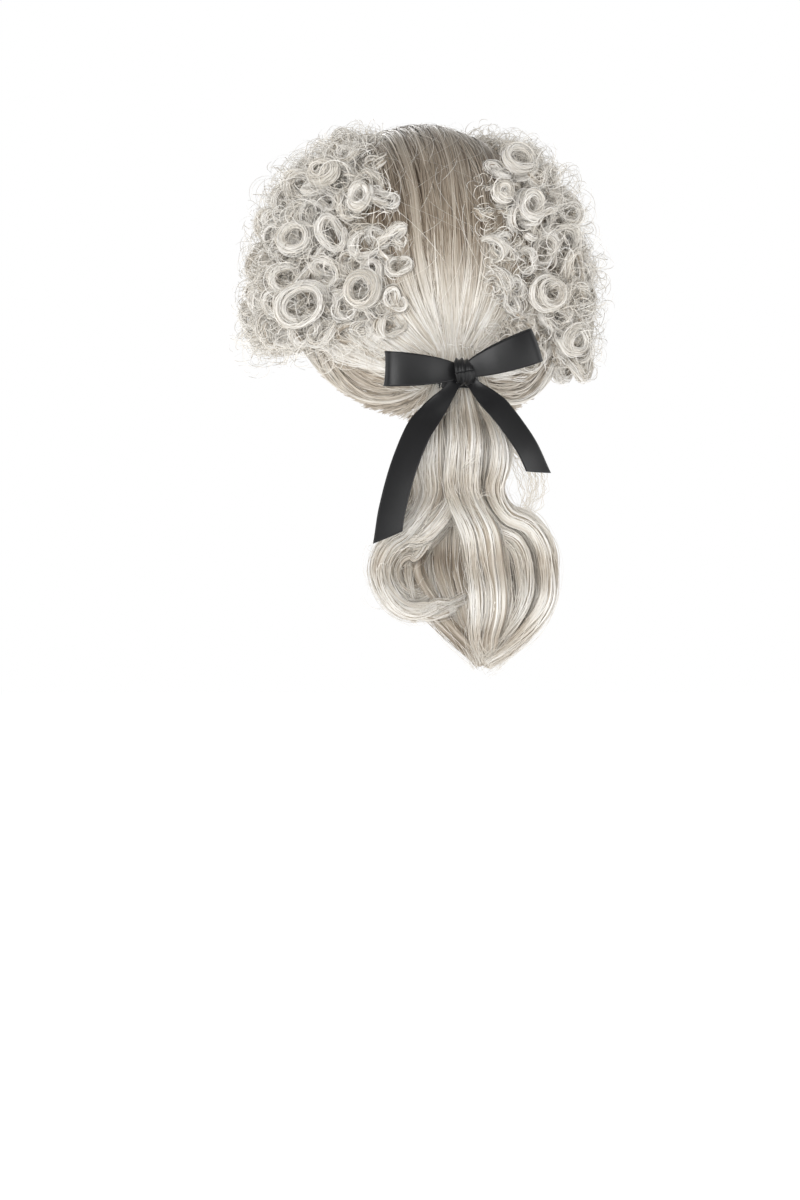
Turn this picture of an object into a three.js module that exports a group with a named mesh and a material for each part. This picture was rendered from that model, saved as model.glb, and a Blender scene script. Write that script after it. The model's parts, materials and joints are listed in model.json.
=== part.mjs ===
// A costume wig in the 18th-century style: a stretch cap, combed crown hair, curled sides,
// and a back queue tied at the nape with a satin ribbon bow.
// Frame: millimetres, +Z up, origin at the centre of the head that wears it.
// The face looks along -Y, the back of the head along +Y, and +X is the wearer's left.
import * as THREE from "three";
import { mergeVertices } from "three/addons/utils/BufferGeometryUtils.js";

// ---- driving dimensions ----
const HEAD = { x: 77, y: 98, z: 100, power: 2 }; // half-axes of the skull that the cap fits
const HAIR = { x: 86, y: 112, z: 104, power: 2.3 }; // half-axes of the combed hair over the cap
const CROWN_RISE = 10; // how far the crown hair is puffed up over HAIR on the midline
const HAIR_GAP = 4.8; // skull to the underside of the hair, which leaves room for cap and wefts
const NET = 0.9; // thickness of the cap's net
const BAND = { low: -0.2, high: 1.6 }; // heights of the edge bands over the skull
const FRONT_BAND = { width: 6, half: 74 }; // in degrees, as for the three below
const NAPE_BAND = { width: 7, half: 60 };
const SIDE_BAND = { from: -50, to: 118, inner: 0.8, outer: 5.5 };
const WEFT = { rows: [48, 72, 96], width: 4, half: 68, low: 2, high: 3.2 };
const TAB = { x: 75.6, y: -23, top: 5, width: 22, length: 29, thick: 1.2, round: 9 };
const STAY = { width: 3, inset: 4, thick: 0.8, gap: 0.3 }; // the flat wire on the inside of the tab
const STRAP = { from: 33, to: 62, low: -3.2, high: -2 }; // lateral angles, heights over the skull
const HOOK_TAPE = { from: 4, to: 25, low: -2.6, high: -1.6 };
const HOOK = { from: 26, to: 32.4, low: -6.6, high: -3.8 };
const EDGE_GAP = 0.6; // degrees between neighbouring patches of one surface
const FRONT_EDGE = -60; // polar angles of the cap's edges, from the top towards the back
const NAPE_EDGE = 124;
const EAR_EDGE = 76; // lateral angle of the edge over the ear
const CROWN_HALF = 26; // lateral angle where the crown hair ends and the side hair starts
const NAPE_HAIR = { from: 111, to: 134, high: 9 }; // polar angles, height over the skull
const ROLL_R = 14.8; // a side curl: outer radius and bore
const ROLL_BORE = 6;
const ROLL_ROWS = [-16, 2, 19.5, 36.5, 53]; // elevation of each row of rolls
const ROLL_COLUMN = 22; // rolls stand this far before and behind the ear, in degrees
const TOP_ROLL = 56; // length of the roll in the top row, and the most in the others
const LONGEST_ROLL = 64;
const RING = { radius: 13.5, bore: 7.5, length: 16, rise: 9.5 }; // the open rings beside the crown
const RINGS = { left: [[58, 31], [62, 4]], right: [[63, 27], [65, 2]] }; // azimuth and elevation
const RIBBON = 20; // width of the satin ribbon as it lies, and its thickness
const SATIN = 0.8;
const TIE = new THREE.Vector3(0, 116, -50); // centre of the hair elastic
const NECK_R = 11.5; // radius of the hair bundle inside the elastic
const ELASTIC = 1.4; // radius of the elastic's cord
const WRAP = { inner: 15.2, outer: 16.2, low: -56, high: -41 }; // the ribbon's turn round the hair
const KNOT = new THREE.Vector3(0, 137, -46);
const KNOT_SIZE = [6.6, 4.3, 7.6]; // half-axes
const LOOP_TILT = { left: 2, right: 20 }; // how far each loop rises outwards, in degrees
const STRAP_WIDTH = 5; // width of the adjusting strap, in degrees over the skull

// ---- materials ----
const make = (color, roughness) => new THREE.MeshStandardMaterial({ color, roughness, metalness: 0 });
const hairMaterial = make(0xdcd9d2, 0.45);
const satinMaterial = make(0x121214, 0.3);
const netMaterial = make(0xb9b4aa, 0.9);
const elasticMaterial = make(0xcfc9bd, 0.85);
const plasticMaterial = make(0xe8e6df, 0.35);

const wig = new THREE.Group();

function add(name, geometry, material) {
  const mesh = new THREE.Mesh(geometry, material);
  mesh.name = name;
  wig.add(mesh);
  return mesh;
}

// ---- shared geometry ----
const rad = THREE.MathUtils.degToRad;
const vec = (x, y, z) => new THREE.Vector3(x, y, z);
const mix = THREE.MathUtils.lerp;
const steps = (count, from, to) =>
  Array.from({ length: count + 1 }, (_, i) => mix(from, to, i / count));

// The distance from the origin to a superellipsoid along the unit vector d.
function reach(form, d) {
  const p = form.power;
  const sum =
    Math.abs(d.x / form.x) ** p + Math.abs(d.y / form.y) ** p + Math.abs(d.z / form.z) ** p;
  return sum ** (-1 / p);
}

// The unit vector at a polar angle (0 up, 90 back, -90 front) and a lateral angle towards +X.
function direction(polar, lateral) {
  const flat = Math.cos(rad(lateral));
  return vec(
    Math.sin(rad(lateral)),
    flat * Math.sin(rad(polar)),
    flat * Math.cos(rad(polar)),
  );
}

// A closed solid through rings that all hold the same even number of points. Each end is closed
// by a strip between the first half of its ring and the second, so a ring may be bent like a bow.
function loft(rings) {
  const n = rings[0].length;
  const faces = [];
  const quad = (a, b, c, d) => faces.push([a, b, c], [a, c, d]);
  for (let r = 0; r + 1 < rings.length; r++)
    for (let i = 0; i < n; i++) {
      const a = r * n + i;
      const b = r * n + ((i + 1) % n);
      quad(a, b, b + n, a + n);
    }
  const last = (rings.length - 1) * n;
  for (let i = 0; i < n / 2 - 1; i++) {
    const [a, b, c, d] = [i, i + 1, n - 2 - i, n - 1 - i];
    quad(d, c, b, a);
    quad(last + a, last + b, last + c, last + d);
  }
  return solid(rings.flat(), faces);
}

// A geometry from points and triangles, turned so that its faces point out.
function solid(points, faces) {
  const volume = faces.reduce(
    (sum, [a, b, c]) => sum + points[a].dot(points[b].clone().cross(points[c])),
    0,
  );
  const index = faces.flatMap(([a, b, c]) => (volume < 0 ? [a, c, b] : [a, b, c]));
  const geometry = new THREE.BufferGeometry().setFromPoints(points);
  geometry.setIndex(index);
  return mergeVertices(geometry, 1e-4);
}

// A patch of shell over the head, between two heights over the skull.
// low and high are functions of (direction, polar, lateral) that give a distance from the origin.
function patch({ polar, lateral, low, high, across = 12 }) {
  return loft(
    polar.map((a) => {
      const at = (b, height) => {
        const d = direction(a, b);
        return d.clone().multiplyScalar(height(d, a, b));
      };
      const sweep = steps(across, ...lateral);
      return [...sweep.map((b) => at(b, high)), ...sweep.reverse().map((b) => at(b, low))];
    }),
  );
}

const overSkull = (height) => (d) => reach(HEAD, d) + height;

// An elliptical ring in a level plane.
function ellipse(centre, halfX, halfY, sides = 16) {
  return steps(sides, 0, 2 * Math.PI)
    .slice(0, sides)
    .map((t) => vec(centre.x + halfX * Math.cos(t), centre.y + halfY * Math.sin(t), centre.z));
}

// ---- cap ----
function buildCap() {
  add(
    "cap_net",
    patch({
      polar: steps(22, FRONT_EDGE, NAPE_EDGE),
      lateral: [-EAR_EDGE, EAR_EDGE],
      low: overSkull(0),
      high: overSkull(NET),
      across: 18,
    }),
    netMaterial,
  );
  const band = (name, from, to, half) =>
    add(
      name,
      patch({
        polar: steps(2, from, to),
        lateral: [-half, half],
        low: overSkull(BAND.low),
        high: overSkull(BAND.high),
        across: 16,
      }),
      elasticMaterial,
    );
  band("front_band", FRONT_EDGE - FRONT_BAND.width, FRONT_EDGE - EDGE_GAP, FRONT_BAND.half);
  band("nape_band", NAPE_EDGE + EDGE_GAP, NAPE_EDGE + NAPE_BAND.width, NAPE_BAND.half);
  for (const [side, sign] of [["left", 1], ["right", -1]]) {
    add(
      "side_band_" + side,
      patch({
        polar: steps(14, SIDE_BAND.from, SIDE_BAND.to),
        lateral: [sign * (EAR_EDGE + SIDE_BAND.inner), sign * (EAR_EDGE + SIDE_BAND.outer)],
        low: overSkull(BAND.low),
        high: overSkull(BAND.high),
        across: 2,
      }),
      elasticMaterial,
    );
    buildEarTab(side, sign);
    buildStrap(side, sign);
  }
  WEFT.rows.forEach((polar, i) =>
    add(
      "weft_track_" + (i + 1),
      patch({
        polar: steps(1, polar, polar + WEFT.width),
        lateral: [-WEFT.half, WEFT.half],
        low: overSkull(WEFT.low),
        high: overSkull(WEFT.high),
        across: 24,
      }),
      elasticMaterial,
    ),
  );
}

// The ear tab is a rounded tongue of lace; its stay lies on the inner face.
function buildEarTab(side, sign) {
  const tongue = new THREE.Shape();
  const half = TAB.width / 2;
  tongue.moveTo(-half, 0);
  tongue.lineTo(half, 0);
  tongue.lineTo(half, TAB.round - TAB.length);
  tongue.quadraticCurveTo(half, -TAB.length, half - TAB.round, -TAB.length);
  tongue.lineTo(TAB.round - half, -TAB.length);
  tongue.quadraticCurveTo(-half, -TAB.length, -half, TAB.round - TAB.length);
  // Extruded along Z, then stood up in the side plane: width along Y, length along Z.
  const upright = new THREE.Matrix4().makeBasis(vec(0, 1, 0), vec(0, 0, 1), vec(1, 0, 0));
  const stand = (shape, depth, x) =>
    new THREE.ExtrudeGeometry(shape, { depth, bevelEnabled: false, curveSegments: 5 })
      .applyMatrix4(upright)
      .translate(x, TAB.y, TAB.top);
  const tab = stand(tongue, TAB.thick, sign > 0 ? TAB.x : -TAB.x - TAB.thick);
  add("ear_tab_" + side, tab, netMaterial);
  const bar = new THREE.Shape();
  const edge = STAY.width / 2;
  bar.moveTo(-edge, -STAY.inset);
  bar.lineTo(edge, -STAY.inset);
  bar.lineTo(edge, STAY.inset - TAB.length);
  bar.lineTo(-edge, STAY.inset - TAB.length);
  const inner = TAB.x - STAY.thick - STAY.gap;
  const stay = stand(bar, STAY.thick, sign > 0 ? inner : -inner - STAY.thick);
  add("ear_stay_" + side, stay, plasticMaterial);
}

// The elastic strap runs inside the nape; its hook catches a loop of the tape near the middle.
function buildStrap(side, sign) {
  const centre = NAPE_EDGE - 4;
  const polar = steps(1, centre - STRAP_WIDTH / 2, centre + STRAP_WIDTH / 2);
  const piece = ({ from, to, low, high }, across) =>
    patch({
      polar,
      lateral: [sign * from, sign * to],
      low: overSkull(low),
      high: overSkull(high),
      across,
    });
  add("strap_" + side, piece(STRAP, 12), elasticMaterial);
  add("hook_tape_" + side, piece(HOOK_TAPE, 8), elasticMaterial);
  add("strap_hook_" + side, piece(HOOK, 4), plasticMaterial);
}

// ---- combed hair ----
const combedHair = (d, polar, lateral) => {
  const skull = reach(HEAD, d);
  const rise = CROWN_RISE * Math.exp(-((polar / 55) ** 2)) * Math.exp(-((lateral / 24) ** 2));
  const front = THREE.MathUtils.smoothstep(polar, FRONT_EDGE - 4, -25);
  return skull + mix(HAIR_GAP + 3.2, reach(HAIR, d) - skull + rise, front);
};

function buildHair() {
  const under = overSkull(HAIR_GAP);
  add(
    "hair_crown",
    patch({
      polar: steps(20, FRONT_EDGE - 4, 91),
      lateral: [-CROWN_HALF, CROWN_HALF],
      low: under,
      high: combedHair,
      across: 8,
    }),
    hairMaterial,
  );
  for (const [side, sign] of [["left", 1], ["right", -1]])
    add(
      "hair_side_" + side,
      patch({
        polar: steps(20, FRONT_EDGE - 2, NAPE_EDGE + 4),
        lateral: [sign * (CROWN_HALF + EDGE_GAP), sign * 80],
        low: under,
        high: combedHair,
        across: 7,
      }),
      hairMaterial,
    );
  add(
    "hair_nape",
    patch({
      polar: steps(5, NAPE_HAIR.from, NAPE_HAIR.to),
      lateral: [-CROWN_HALF, CROWN_HALF],
      low: under,
      high: overSkull(NAPE_HAIR.high),
      across: 8,
    }),
    hairMaterial,
  );
  const funnel = [
    [vec(0, 107.4, -4.5), 34, 2.6],
    [vec(0, 108.4, -14), 25, 4.8],
    [vec(0, 109.6, -24), 18, 7],
    [vec(0, 110.5, -31), 13, 8.4],
  ];
  add("hair_gather", loft(funnel.map(([c, x, y]) => ellipse(c, x, y, 20))), hairMaterial);
}

// ---- curls ----
// A hollow barrel of rolled hair along +Y, centred on the origin.
function barrel(radius, bore, length) {
  const half = length / 2;
  const shoulder = Math.min(4, half / 3);
  const profile = [
    [bore, -half],
    [radius - 2.5, -half],
    [radius, shoulder - half],
    [radius, half - shoulder],
    [radius - 2.5, half],
    [bore, half],
    [bore, -half],
  ];
  const lathe = new THREE.LatheGeometry(
    profile.map(([r, y]) => new THREE.Vector2(r, y)),
    14,
  );
  lathe.deleteAttribute("normal");
  lathe.deleteAttribute("uv");
  return mergeVertices(lathe, 1e-4);
}

// The place on the combed hair at an azimuth (0 at the ear, 90 at the back) and an elevation,
// and the direction that stands on it there.
function seat(sign, azimuth, elevation) {
  const level = Math.cos(rad(elevation));
  const d = vec(
    sign * level * Math.cos(rad(azimuth)),
    level * Math.sin(rad(azimuth)),
    Math.sin(rad(elevation)),
  );
  const point = d.multiplyScalar(reach(HAIR, d));
  const slope = (axis) =>
    (Math.sign(point[axis]) * Math.abs(point[axis] / HAIR[axis]) ** (HAIR.power - 1)) / HAIR[axis];
  return { point, normal: vec(slope("x"), slope("y"), slope("z")).normalize() };
}

function placeCurl(name, geometry, centre, axis) {
  const curl = add(name, geometry, hairMaterial);
  curl.position.copy(centre);
  curl.quaternion.setFromUnitVectors(vec(0, 1, 0), axis.clone().normalize());
}

function buildCurls() {
  for (const [side, sign] of [["left", 1], ["right", -1]]) {
    ROLL_ROWS.forEach((elevation, row) => {
      const top = row === ROLL_ROWS.length - 1;
      const columns = top ? [["top", 4]] : [["fore", -ROLL_COLUMN], ["rear", ROLL_COLUMN]];
      for (const [column, azimuth] of columns) {
        const { point, normal } = seat(sign, azimuth, elevation);
        const centre = point.clone().addScaledVector(normal, ROLL_R + 0.8);
        const level = Math.hypot(centre.x, centre.y);
        const room = 2 * Math.tan(rad(ROLL_COLUMN)) * (level - ROLL_R) - 4;
        const length = top ? TOP_ROLL : Math.min(room, LONGEST_ROLL);
        const axis = vec(-sign * normal.y, sign * normal.x, 0);
        const name = top ? `curl_${side}_top` : `curl_${side}_${column}_${row + 1}`;
        placeCurl(name, barrel(ROLL_R, ROLL_BORE, length), centre, axis);
      }
    });
    RINGS[side].forEach(([azimuth, elevation], i) => {
      const { point, normal } = seat(sign, azimuth, elevation);
      const centre = point.clone().addScaledVector(normal, RING.rise);
      const ring = barrel(RING.radius, RING.bore, RING.length);
      placeCurl(`curl_${side}_ring_${i + 1}`, ring, centre, normal);
    });
  }
}

// ---- tie: elastic, ribbon turn, knot and bow ----
function ringAround(inner, outer, low, high) {
  const profile = [
    [inner, low],
    [outer, low],
    [outer, high],
    [inner, high],
    [inner, low],
  ];
  const lathe = new THREE.LatheGeometry(
    profile.map(([r, y]) => new THREE.Vector2(r, y)),
    28,
  );
  lathe.rotateX(Math.PI / 2).translate(TIE.x, TIE.y, 0);
  return lathe;
}

// A strip of ribbon: its flat side stands along `up`, and its width follows the list of widths.
function strip(path, widths, up, count) {
  const curve = new THREE.CatmullRomCurve3(path);
  return loft(
    steps(count, 0, 1).map((t) => {
      const p = curve.getPoint(t);
      const along = curve.getTangent(t);
      const side = up ? up.clone() : along.clone().cross(vec(0, 1, 0)).normalize();
      const out = up ? along.clone().cross(up).normalize() : vec(0, 1, 0);
      const half = widths(t) / 2;
      const corner = (s, o) =>
        p.clone().addScaledVector(side, s * half).addScaledVector(out, (o * SATIN) / 2);
      return [corner(-1, -1), corner(1, -1), corner(1, 1), corner(-1, 1)];
    }),
  );
}

function buildBow() {
  const neck = new THREE.CylinderGeometry(NECK_R, NECK_R, 14, 20);
  neck.rotateX(Math.PI / 2).translate(TIE.x, TIE.y, TIE.z - 1);
  add("queue_neck", neck, hairMaterial);
  const elastic = new THREE.TorusGeometry(NECK_R + ELASTIC + 0.4, ELASTIC, 8, 28);
  elastic.translate(TIE.x, TIE.y, TIE.z);
  add("hair_elastic", elastic, elasticMaterial);
  add("ribbon_wrap", ringAround(WRAP.inner, WRAP.outer, WRAP.low, WRAP.high), satinMaterial);
  const knot = new THREE.SphereGeometry(1, 14, 10).scale(...KNOT_SIZE);
  add("ribbon_knot", knot.translate(KNOT.x, KNOT.y, KNOT.z), satinMaterial);
  const eye = [[1, 1.9], [13, 5.2], [30, 6.2], [40, 4.2], [43, 0]];
  for (const [side, sign] of [["left", 1], ["right", -1]]) {
    const reachOut = (x, y) => vec(sign * (x + 7.6), KNOT.y + y - 0.5, 0);
    const path = [
      ...eye.map(([x, y]) => reachOut(x, y)),
      ...eye.slice(0, -1).reverse().map(([x, y]) => reachOut(x, -y)),
    ];
    const loop = strip(path, (t) => mix(11, RIBBON, Math.sin(Math.PI * t) ** 0.7), vec(0, 0, 1), 28);
    loop.rotateY(-sign * rad(LOOP_TILT[side])).translate(0, 0, KNOT.z);
    add("ribbon_loop_" + side, loop, satinMaterial);
  }
  const leftEnd = [vec(10, 139, -58), vec(21, 145, -70), vec(31, 149, -84), vec(41, 152, -107)];
  leftEnd.push(vec(48, 153, -132), vec(51, 153, -148));
  const rightEnd = [vec(-10, 139, -58), vec(-20, 144, -68), vec(-29, 148, -80)];
  rightEnd.push(vec(-38, 150, -94), vec(-45, 151, -107));
  const grow = (t) => mix(7, RIBBON, THREE.MathUtils.smoothstep(t, 0, 0.3));
  add("ribbon_end_left", strip(leftEnd, grow, null, 16), satinMaterial);
  add("ribbon_end_right", strip(rightEnd, grow, null, 12), satinMaterial);
}

// ---- queue ----
// A lock is a stack of level ellipses: [x, y, z, half width, half depth].
const lock = (rows) => loft(rows.map(([x, y, z, a, b]) => ellipse(vec(x, y, z), a, b, 14)));

function buildQueue() {
  const left = [
    [8, 117, -66, 3.6, 9],
    [16, 118, -84, 7, 13],
    [17, 119, -104, 8, 16],
    [22, 120, -124, 9.5, 17],
    [26, 120, -144, 11, 16],
  ];
  const centre = [
    [0, 117, -66, 4, 11],
    [-1, 118, -84, 8.5, 15],
    [-1, 119, -104, 9, 18],
    [-1, 120, -124, 11, 19],
    [-4, 120, -143, 9, 18],
  ];
  const right = [
    [-8, 117, -66, 3.6, 9],
    [-18, 118, -84, 7, 13],
    [-20, 119, -104, 9, 16],
    [-25, 120, -122, 11, 17],
    [-32, 120, -133, 12, 16],
  ];
  add("queue_lock_left", lock(left), hairMaterial);
  add("queue_lock_centre", lock(centre), hairMaterial);
  add("queue_lock_right", lock(right), hairMaterial);
  placeCurl("queue_roll_left", barrel(26.5, 9, 50), vec(28.5, 122, -173), vec(0, 1, 0));
  const rightRoll = barrel(20, 7, 46).scale(1, 1, 1.5);
  placeCurl("queue_roll_right", rightRoll, vec(-47, 122, -165), vec(0, 1, 0));
  const tip = [
    [-13, 121, -146, 10, 16],
    [-12.4, 122, -168, 13, 20],
    [-12.4, 122, -190, 13, 19],
    [-14, 122, -210, 12, 15],
    [-17, 122, -232, 5, 7],
  ];
  add("queue_tip", lock(tip), hairMaterial);
}

buildCap();
buildHair();
buildCurls();
buildBow();
buildQueue();

export default wig;
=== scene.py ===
# The looks of the costume wig: strands of hair, curls, queue, satin bow and the cap inside.
# Lengths are in millimetres until a mesh is made, where to_mesh() turns them into metres.
# Angles are in degrees where they place something on the head: polar runs from the top of the
# head to the back (negative to the front), lateral runs to the wearer's left.
import json
import math

import bpy
import numpy as np
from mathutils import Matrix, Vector

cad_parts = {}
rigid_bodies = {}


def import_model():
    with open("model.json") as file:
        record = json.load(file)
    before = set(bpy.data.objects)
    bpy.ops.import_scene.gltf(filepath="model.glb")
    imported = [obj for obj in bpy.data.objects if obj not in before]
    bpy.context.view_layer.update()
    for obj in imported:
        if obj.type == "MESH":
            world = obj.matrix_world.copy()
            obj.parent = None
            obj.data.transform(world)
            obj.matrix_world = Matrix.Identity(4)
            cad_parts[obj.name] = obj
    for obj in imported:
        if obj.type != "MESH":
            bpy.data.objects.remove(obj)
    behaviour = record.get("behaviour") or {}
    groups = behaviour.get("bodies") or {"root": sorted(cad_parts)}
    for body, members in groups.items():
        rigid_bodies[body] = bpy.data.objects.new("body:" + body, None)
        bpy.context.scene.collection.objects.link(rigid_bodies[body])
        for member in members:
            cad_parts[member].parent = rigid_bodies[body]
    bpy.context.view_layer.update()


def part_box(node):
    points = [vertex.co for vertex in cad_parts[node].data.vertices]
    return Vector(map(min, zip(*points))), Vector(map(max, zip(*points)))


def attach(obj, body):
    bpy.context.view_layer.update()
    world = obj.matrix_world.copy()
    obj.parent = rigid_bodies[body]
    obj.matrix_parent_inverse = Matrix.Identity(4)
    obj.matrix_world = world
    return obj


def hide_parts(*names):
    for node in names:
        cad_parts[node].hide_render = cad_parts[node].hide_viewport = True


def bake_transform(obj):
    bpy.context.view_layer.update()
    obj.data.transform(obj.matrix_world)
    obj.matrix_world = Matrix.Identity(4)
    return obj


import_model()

MM = 0.001
UP = np.array([0.0, 0.0, 1.0])
BACK = np.array([0.0, 1.0, 0.0])
TURN = 2 * np.pi
SIDES = (("left", 1), ("right", -1))

# ---- the head and hair forms, as the CAD part has them ----
# half axes, and the power that squares the form
HEAD = (77.0, 98.0, 100.0, 2.0)
HAIR = (86.0, 112.0, 104.0, 2.3)
# the crown's rise over that form: its height, and its spread in polar and lateral angle
CROWN_RISE, CROWN_LONG, CROWN_WIDE = 10.0, 55, 24
HAIRLINE_HEIGHT = 8.0
FRONT_EDGE, NAPE_EDGE, EAR_EDGE = -60.0, 124.0, 76.0
RIBBON_WIDTH = 22.0
NECK_R = 11.5
WEFTS = ("weft_track_1", "weft_track_2", "weft_track_3")


def centre_of(node):
    low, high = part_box(node)
    return (np.array(low) + np.array(high)) / 2 / MM


TIE = centre_of("hair_elastic")
KNOT = centre_of("ribbon_knot")


# ---- small maths ----
def unit(v):
    return v / np.maximum(np.linalg.norm(v, axis=-1, keepdims=True), 1e-9)


def square_to(v, tangent):
    """The part of v that is square to the tangent, as a unit vector."""
    return unit(v - (v * tangent).sum(-1, keepdims=True) * tangent)


def length_of(v):
    return np.linalg.norm(v, axis=-1)


def tangents(paths):
    """The directions along a path (points, 3), or along several (strands, points, 3)."""
    return unit(np.gradient(paths, axis=-2))


def xyz(x, y, z):
    return np.stack(np.broadcast_arrays(x, y, z), -1)


def ticks(count):
    """Numbers from 0 to 1 in equal steps."""
    return np.linspace(0, 1, count)


def circling(u, v, angle, radius):
    """Points at angles and radii round the origin, in the plane of u and v."""
    return u * (np.cos(angle) * radius)[..., None] + v * (np.sin(angle) * radius)[..., None]


def smooth(x, a, b):
    t = np.clip((x - a) / (b - a), 0, 1)
    return t * t * (3 - 2 * t)


def mix(a, b, t):
    return a + (b - a) * t


def reach(form, d):
    """How far a form reaches from the head's centre along unit vectors d."""
    a, b, c, p = form
    total = np.abs(d[..., 0] / a) ** p + np.abs(d[..., 1] / b) ** p + np.abs(d[..., 2] / c) ** p
    return total ** (-1 / p)


def direction(polar, lateral):
    a, b = np.radians(polar), np.radians(lateral)
    return xyz(np.sin(b), np.cos(b) * np.sin(a), np.cos(b) * np.cos(a))


def angles_of(d):
    polar = np.degrees(np.arctan2(d[..., 1], d[..., 2]))
    lateral = np.degrees(np.arcsin(np.clip(d[..., 0], -1, 1)))
    return polar, lateral


def on_head(polar, lateral, height):
    """Points at a height over the skull."""
    d = direction(polar, lateral)
    return d * (reach(HEAD, d) + height)[..., None]


def hair_height(polar, lateral):
    """How far the combed hair stands over the skull: thin at the hairline, high on the crown."""
    d = direction(polar, lateral)
    full = reach(HAIR, d) - reach(HEAD, d)
    full = full + CROWN_RISE * np.exp(-((polar / CROWN_LONG) ** 2)) * np.exp(-((lateral / CROWN_WIDE) ** 2))
    return mix(HAIRLINE_HEIGHT, full, smooth(polar, FRONT_EDGE - 4, -25))


def seat(sign, azimuth, elevation):
    """The place on the hair form at an azimuth (0 at the ear, 90 at the back) and an elevation."""
    a, e = math.radians(azimuth), math.radians(elevation)
    d = np.array([sign * math.cos(e) * math.cos(a), math.cos(e) * math.sin(a), math.sin(e)])
    p = d * reach(HAIR, d)
    half = np.array(HAIR[:3])
    n = np.sign(p) * np.abs(p / half) ** (HAIR[3] - 1) / half
    return p, unit(n)


def resample(path, count):
    """The path again, with equal steps along its length."""
    along = np.concatenate([[0], np.cumsum(length_of(np.diff(path, axis=0)))])
    want = np.linspace(0, along[-1], count)
    return xyz(*(np.interp(want, along, path[:, k]) for k in range(3)))


def spline(points, count):
    """A Catmull-Rom curve through points, with equal steps along its length."""
    points = np.asarray(points, float)
    ends = np.vstack([2 * points[0] - points[1], points, 2 * points[-1] - points[-2]])
    t = np.linspace(0, 1, 24, endpoint=False)[:, None]
    fine = []
    for i in range(1, len(ends) - 2):
        a, b, c, d = ends[i - 1 : i + 3]
        fine.append(
            0.5 * (2 * b + (c - a) * t + (2 * a - 5 * b + 4 * c - d) * t**2 + (3 * b - a - 3 * c + d) * t**3)
        )
    return resample(np.vstack(fine + [points[-1:]]), count)


# ---- meshes ----
def to_mesh(name, points, faces, material, attributes=None, uv=None):
    """A mesh object from points in millimetres and an array of faces with equal corner counts."""
    faces = np.asarray(faces, np.int32)
    mesh = bpy.data.meshes.new(name)
    mesh.vertices.add(len(points))
    mesh.vertices.foreach_set("co", (np.asarray(points) * MM).astype(np.float32).ravel())
    mesh.loops.add(faces.size)
    mesh.loops.foreach_set("vertex_index", faces.ravel())
    mesh.polygons.add(len(faces))
    mesh.polygons.foreach_set("loop_start", np.arange(0, faces.size, faces.shape[1], dtype=np.int32))
    mesh.update(calc_edges=True)
    for key, values in (attributes or {}).items():
        layer = mesh.attributes.new(key, "FLOAT", "POINT")
        layer.data.foreach_set("value", np.asarray(values, np.float32))
    if uv is not None:
        layer_name, places = uv
        layer = mesh.uv_layers.new(name=layer_name)
        layer.data.foreach_set("uv", places[faces.ravel()].astype(np.float32).ravel())
    mesh.polygons.foreach_set("use_smooth", np.ones(len(faces), bool))
    mesh.validate()
    mesh.materials.append(material)
    obj = bpy.data.objects.new(name, mesh)
    bpy.context.scene.collection.objects.link(obj)
    return obj


def closed_faces(rows, sides):
    """Faces of a closed form made of rows of rings. Each end ring closes across its middle."""
    i, j = np.meshgrid(np.arange(rows - 1), np.arange(sides), indexing="ij")
    k = (j + 1) % sides
    quads = np.stack([i * sides + j, i * sides + k, (i + 1) * sides + k, (i + 1) * sides + j], -1)
    m = np.arange(sides // 2 - 1)
    cap = np.stack([m, m + 1, sides - 2 - m, sides - 1 - m], -1)
    return np.vstack([quads.reshape(-1, 4), cap[:, ::-1], cap + (rows - 1) * sides])


def patch(polar, lateral, low, high, nu, nv):
    """Points and faces of a closed patch over the skull. low and high give its heights."""
    a = np.linspace(*polar, nu)[:, None] + np.zeros((1, nv))
    b = np.linspace(*lateral, nv)[None] + np.zeros((nu, 1))
    outer = on_head(a, b, high(a, b))
    inner = on_head(a, b, low(a, b))[:, ::-1]
    faces = closed_faces(nu, 2 * nv)
    points = np.concatenate([outer, inner], 1).reshape(-1, 3)
    return points, faces[:, ::-1] if lateral[1] < lateral[0] else faces


def level(height):
    """The same height all over a patch."""
    return lambda a, b: height + 0 * a


def threads(paths, radius, sides=4):
    """Round threads along paths (strands, points, 3), as points and faces."""
    s, n, _ = paths.shape
    tangent = tangents(paths)
    seed = np.where(np.abs(tangent[..., 2:]) < 0.9, UP, np.array([1.0, 0, 0]))
    u = unit(np.cross(tangent, seed))
    v = np.cross(tangent, u)
    a = np.linspace(0, TURN, sides, endpoint=False)[:, None]
    ring = paths[:, :, None] + radius * (u[:, :, None] * np.cos(a) + v[:, :, None] * np.sin(a))
    faces = closed_faces(n, sides)[None] + (np.arange(s) * n * sides)[:, None, None]
    return ring.reshape(-1, 3), faces.reshape(-1, 4)


def joined(parts):
    """Several (points, faces) as one."""
    points, faces, count = [], [], 0
    for p, f in parts:
        points.append(p)
        faces.append(f + count)
        count += len(p)
    return np.vstack(points), np.vstack(faces)


def place(obj, slot, body, *nodes):
    """Put a piece on its body and hide the CAD nodes it stands for. The slot is not used."""
    if nodes:
        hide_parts(*nodes)
    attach(obj, body)


def span(obj, slot, nodes, bodies, start, end):
    """For a piece that reaches from one body to the next: hide its CAD nodes and bake its transform into its
    mesh. The slot, the bodies and the two points, in metres, are not used.
    """
    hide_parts(*nodes)
    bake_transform(obj)


# a strand's width at its two ends, as a share of its full width
STRAND_END = 0.55
# the texture map's cells for strands are this many times as long as wide
STRAND_UV_CELLS = 6
CORE_UV = 0.999
# rand, tone and deep of the cores: dark, as painted shade inside the locks
CORE_PAINTED_SHADE = (0.5, -0.08, 0.36)


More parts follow.
